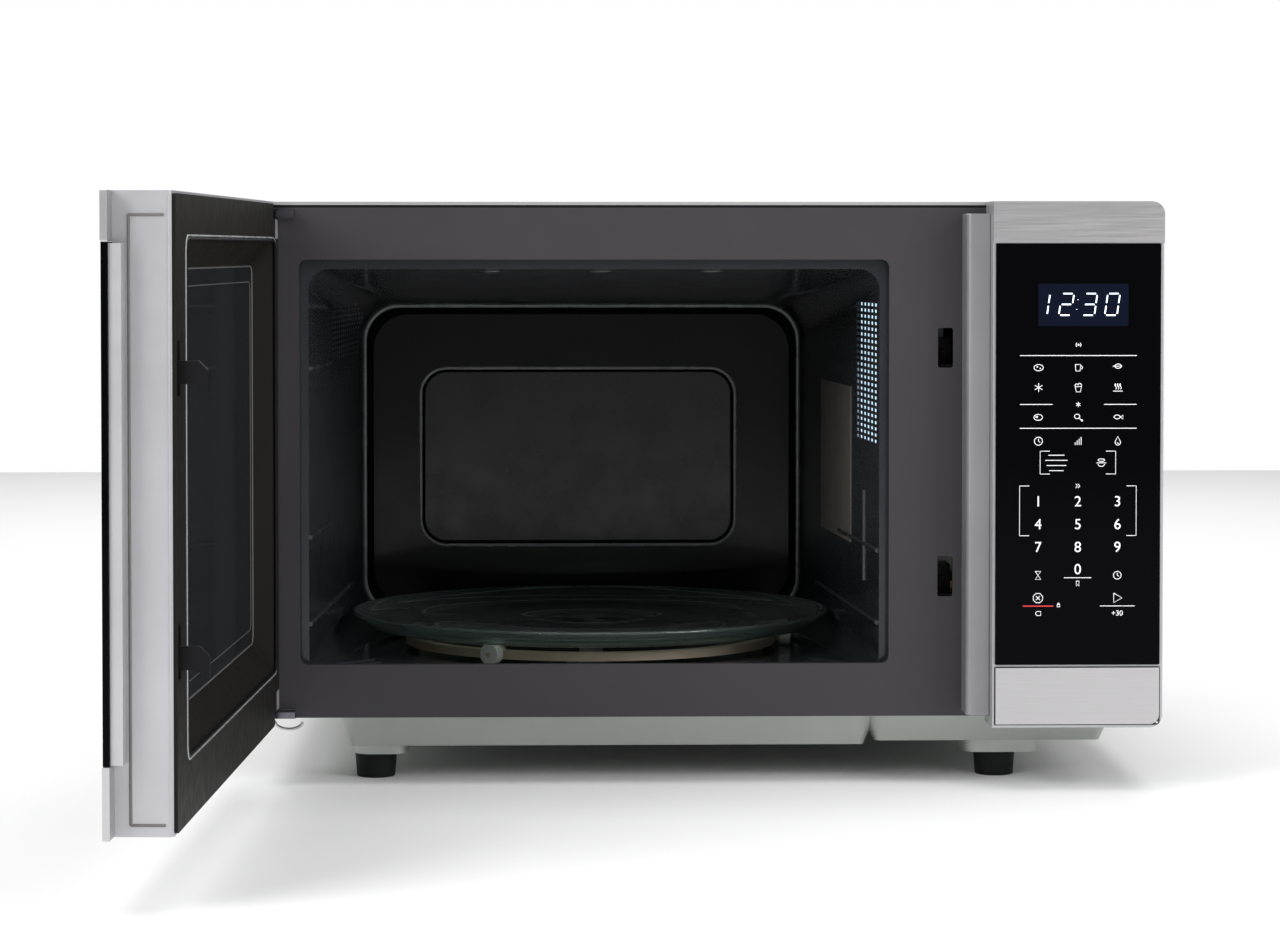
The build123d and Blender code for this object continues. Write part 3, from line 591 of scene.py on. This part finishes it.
def ceiling_z(y):
    """Height of the ceiling's inside at depth y."""
    t = (y - STEP_Y) / (RIM_Y - STEP_Y)
    return CAVITY_FRONT[2] + t * (CAVITY_REAR[2] - CAVITY_FRONT[2])


def on_wall(side, *places):
    """Open stroke along a side wall, through places given as depth and height."""
    return [(wall_x(side, y), y, z) for y, z in places], False


def cavity_beads():
    """Rolled rim of the back wall and edge of its pressed panel, in pale enamel as painted highlight; floor
    ribs; and the side walls' beads, in lighter enamel as painted highlight.
    """
    rim = rounded_path(CAVITY_REAR[:2], (CAVITY_FLOOR, CAVITY_REAR[2]), REAR_CORNER, RIM_Y)
    # pale beads as painted highlight along the back wall's rim and the panel's edge
    drawn("back_rim_bead", [rim], 1.5 * MM, RIM_PAINTED_HIGHLIGHT, "oven")
    panel = rounded_path((-0.1731, 0.0601), (0.118, 0.2494), 0.019, 0.4096)
    drawn("back_panel_bead", [panel], 1.3 * MM, RIM_PAINTED_HIGHLIGHT, "oven")
    ribs = []
    for side, inwards in ((LEFT, 1), (RIGHT, -1)):
        for y, length in ((0.03, 0.036), (0.052, 0.030), (0.074, 0.024)):
            x = wall_x(side, y) + 0.010 * inwards
            end = (x + length * inwards, y + length, CAVITY_FLOOR)
            ribs.append(open_line((x, y, CAVITY_FLOOR), end))
        x = wall_x(side, 0.35) + 0.012 * inwards
        end = (x + 0.045 * inwards, 0.33, CAVITY_FLOOR)
        ribs.append(open_line((x, 0.37, CAVITY_FLOOR), end))
    drawn("floor_ribs", ribs, 1.2 * MM, SURFACES["cavity_enamel"], "oven")
    beads = [on_wall(LEFT, (0.02, 0.262), (0.15, 0.262)), on_wall(LEFT, (0.02, 0.155), (0.15, 0.155)),
             on_wall(RIGHT, (0.02, 0.146), (0.19, 0.146)), on_wall(RIGHT, (0.075, 0.122), (0.075, 0.181)),
             on_wall(LEFT, (0.02, 0.100), (0.30, 0.100)), on_wall(RIGHT, (0.02, 0.100), (0.30, 0.100))]
    # side walls' beads in lighter enamel as painted highlight
    drawn("wall_beads", beads, 1.5 * MM, BEAD_PAINTED_HIGHLIGHT, "oven")


def cover_gap_painted_shadow():
    """Painted shadow: a dark line along the gap between the front plate's top edge and the cover."""
    height = PLATE_HIGH.z + 0.8 * MM
    gap = [(PLATE_LOW.x, 0.0, height), (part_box("control_panel_frame")[0].x, 0.0, height)]
    drawn("cover_gap_painted_shadow", [open_line(*gap)], 0.8 * MM, SURFACES["black_plastic"], "oven", PLATE_LOW.y)


def plate(name, points, surface, body="oven"):
    """One flat face through the points."""
    bm = bmesh.new()
    bm.faces.new([bm.verts.new(point) for point in points])
    new_piece(name, mesh_from(bm, name), surface, body)


def release_bar_gap_painted_shadow():
    """Painted shadow: a dark line round the release bar, in the control panel's frame."""
    bar_low, bar_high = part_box("release_bar_face")
    margin = 0.2 * MM
    x = (bar_low.x - margin, bar_high.x + margin)
    z = (bar_low.z - margin, bar_high.z + margin)
    seam = rounded_path(x, z, 1.5 * MM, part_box("control_panel_frame")[0].y)
    drawn("release_bar_gap_painted_shadow", [seam], 0.35 * MM, SURFACES["black_plastic"], "oven")


def hidden_plate(name, x, y, z, surface):
    """Upright plate across the oven at depth y, between the x and z limits."""
    corners = ((x[0], z[0]), (x[1], z[0]), (x[1], z[1]), (x[0], z[1]))
    plate(name, [(px, y, pz) for px, pz in corners], surface)


def cavity_plates():
    """Face of the pressed panel in painted shade, end of the air duct in painted glow, and a dark plate
    behind the upper latch slot as painted shade.
    """
    panel, _ = rounded_path((-0.1695, 0.0565), (0.1215, 0.2460), 0.016, 0.4142)
    # painted shade on the panel's face, lighter than the back wall round it
    plate("pressed_panel_face", panel, PANEL_PAINTED_SHADE)
    # painted glow on the air duct's end
    hidden_plate("duct_end_painted_glow", (0.1290, 0.1530), 0.1270, (0.1890, 0.3190), DUCT_PAINTED_GLOW)
    # painted shade: a dark plate behind the upper latch slot
    hidden_plate("latch_slot_painted_shade", (0.1765, 0.1965), 0.0700, (0.2550, 0.3000), SURFACES["black_plastic"])


def ceiling_dimples():
    """Three shallow bumps in the ceiling, just behind the front, in lighter enamel as painted highlight."""
    bm = bmesh.new()
    depth = 0.03
    flattened = Matrix.Diagonal((8 * MM, 6 * MM, 1.8 * MM, 1))
    for x in (-0.116, -0.046, 0.024):
        place = Matrix.Translation((x, depth, ceiling_z(depth))) @ flattened
        bmesh.ops.create_uvsphere(bm, u_segments=24, v_segments=12, radius=1, matrix=place)
    new_piece("ceiling_dimples", mesh_from(bm, "ceiling_dimples", True), BEAD_PAINTED_HIGHLIGHT, "oven")


# ---- door ----
def on_door(x, y, z):
    """Where a place on the closed door stands at rest, in metres."""
    turn = Matrix.Rotation(-DOOR_OPEN, 4, "Z")
    return HINGE + turn @ (Vector((x, y, z)) - HINGE)


def door_line(*places):
    """Open stroke on the door, through places on the closed door."""
    return [on_door(*place) for place in places], False


def door_outline(x, z, radius, y):
    """Round-cornered outline on the door, placed as on the closed door."""
    points, closed = rounded_path(x, z, radius, y)
    return [on_door(*point) for point in points], closed


def door_details():
    """Painted shadow lines and ridge of the free edge's moulding, the window's surround with a painted
    highlight on its rim, and its inner trim.
    """
    edge, front, rear = 0.1806, -0.0262, -0.0085
    bottom, top = 0.0460, 0.3548
    # painted shadow lines along the free edge's recessed channel
    shadow_lines = [door_line((edge, front, bottom), (edge, front, top)),
             door_line((edge, front, top), (edge, rear, top)),
             door_line((edge, front, bottom), (edge, rear, bottom))]
    drawn("door_edge_painted_shadow_lines", shadow_lines, 0.8 * MM, TRIM_AND_SHADOW_LINE, "door")
    ridge = [door_line((edge, -0.0058, 0.042), (edge, -0.0058, 0.365))]
    drawn("door_edge_ridge", ridge, 0.6 * MM, SURFACES["silver_plastic"], "door")
    surround = [door_outline((-0.2430, 0.1450), (0.0735, 0.3445), 0.009, -0.0026)]
    # painted highlight along the window surround's outer rim
    drawn("window_surround_rim", surround, 0.6 * MM, RIM_PAINTED_HIGHLIGHT, "door")
    seam = [door_outline((-0.2412, 0.1432), (0.0753, 0.3427), 0.008, -0.0026)]
    drawn("window_surround_seam", seam, 0.9 * MM, SURFACES["black_plastic"], "door")
    trim = [door_outline((-0.2245, 0.1265), (0.0940, 0.3270), 0.007, -0.0150)]
    drawn("window_trim", trim, 0.5 * MM, TRIM_AND_SHADOW_LINE, "door")
    inner = [door_outline((-0.2150, 0.1170), (0.1035, 0.3175), 0.006, -0.0150)]
    drawn("window_film_edge", inner, 0.25 * MM, TRIM_AND_SHADOW_LINE, "door")


def door_window():
    """The window's screen as it shows through the dark front glass."""
    view, _ = door_outline((-0.2270, 0.1290), (0.0960, 0.3250), 0.008, -0.03803)
    plate("door_window", view, SCREEN_VIEW, "door")


def hinge_loop():
    """End of the lower hinge's wire spring, hanging just under the front plate."""
    loop = [(x, 0.0, z) for x, z in arc(-0.2420, 0.0405, 0.0085, 0.0045, 180, 360, 12)]
    drawn("hinge_spring_loop", [open_line(*loop)], 0.9 * MM, SURFACES["plated_steel"], "oven")


# ---- turntable: radius and height of the tray's section, in mm, from under its middle round to its top ----
TRAY_PROFILE = (
    (0.3, 80.6), (145, 80.6), (149, 81.4), (156.5, 86.3), (161.6, 89.4), (162.4, 90.6), (162.4, 91.6),
    (161.4, 92.3), (160.0, 92.3), (158.6, 91.5), (157.2, 91.2), (153, 88.5), (149, 86.4), (144, 85.4),
    (119, 85.2), (117.5, 84.7), (116, 85.2), (40, 85.2), (38.5, 84.8), (37, 85.2), (0.3, 85.2),
)


def glass_tray():
    """Pressed tray with a stepped rim and two fine rings in its floor."""
    bm = turned([(r * MM, z * MM) for r, z in TRAY_PROFILE], TABLE)
    tray = new_piece("tray", mesh_from(bm, "tray", True), SURFACES["tray_glass"], "glass_tray")
    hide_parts("glass_tray")


dress_cad_nodes()
soften_edges()
key_symbols()
key_rules()
numerals()
display()
cavity_beads()
cavity_plates()
cover_gap_painted_shadow()
release_bar_gap_painted_shadow()
ceiling_dimples()
door_details()
door_window()
hinge_loop()
glass_tray()


# ---- studio ----
def studio():
    """Plain pale floor on all sides."""
    reach = 3.2
    corners = ((-reach, -reach), (reach, -reach), (reach, reach), (-reach, reach))
    bm = bmesh.new()
    bm.faces.new([bm.verts.new((x, y, 0)) for x, y in corners])
    mesh = mesh_from(bm, "floor")
    floor = bpy.data.objects.new("floor", mesh)
    bpy.context.scene.collection.objects.link(floor)
    surface = Surface("floor", (0.92, 0.92, 0.92), 0.7)
    surface.tint(surface.noise(3, 2), 0.01)
    mesh.materials.append(surface.material)


def area_light(name, place, target, size, power):
    """Rectangular light that faces its target."""
    data = bpy.data.lights.new(name, "AREA")
    data.shape = "RECTANGLE"
    data.size, data.size_y = size
    data.energy = power
    light = bpy.data.objects.new(name, data)
    light.location = place
    light.rotation_euler = (Vector(target) - Vector(place)).to_track_quat("-Z", "Y").to_euler()
    bpy.context.scene.collection.objects.link(light)


def surroundings():
    """White behind the floor, and a softer even light on everything else."""
    world = bpy.data.worlds.new("studio")
    world.use_nodes = True
    tree = world.node_tree
    soft = tree.nodes["Background"]
    soft.inputs["Color"].default_value = (1, 1, 1, 1)
    soft.inputs["Strength"].default_value = 0.38
    white = tree.nodes.new("ShaderNodeBackground")
    white.inputs["Color"].default_value = (1, 1, 1, 1)
    path = tree.nodes.new("ShaderNodeLightPath")
    mix = tree.nodes.new("ShaderNodeMixShader")
    tree.links.new(path.outputs["Is Camera Ray"], mix.inputs[0])
    tree.links.new(soft.outputs[0], mix.inputs[1])
    tree.links.new(white.outputs[0], mix.inputs[2])
    tree.links.new(mix.outputs[0], tree.nodes["World Output"].inputs["Surface"])
    bpy.context.scene.world = world


def lighting():
    """Soft lights from both front sides, from above and on the floor behind."""
    surroundings()
    bpy.context.scene.view_settings.view_transform = "Standard"
    area_light("key_left", (-1.9, -1.9, 1.5), (0, 0, 0.2), (1.4, 1.6), 50)
    area_light("fill_right", (2.1, -1.7, 1.3), (0, 0, 0.2), (1.2, 1.4), 40)
    area_light("top", (0, -0.2, 2.4), (0, 0, 0), (2.4, 2.0), 34)
    area_light("back", (0, 2.6, 2.2), (0, 1.2, 0), (3.0, 1.0), 34)


def camera():
    """In front of the front plate, a little left of the middle, looking slightly down and right."""
    distance, down, right = 2.25, 1.75, 1.52
    data = bpy.data.cameras.new("camera")
    data.lens = 100.8
    data.sensor_width = 36.0
    data.shift_y = -0.084
    view = bpy.data.objects.new("camera", data)
    view.location = (-0.081, PLATE_LOW.y - distance, 0.337)
    view.rotation_euler = (math.radians(90 - down), 0, math.radians(-right))
    bpy.context.scene.collection.objects.link(view)
    bpy.context.scene.camera = view


studio()
lighting()
camera()
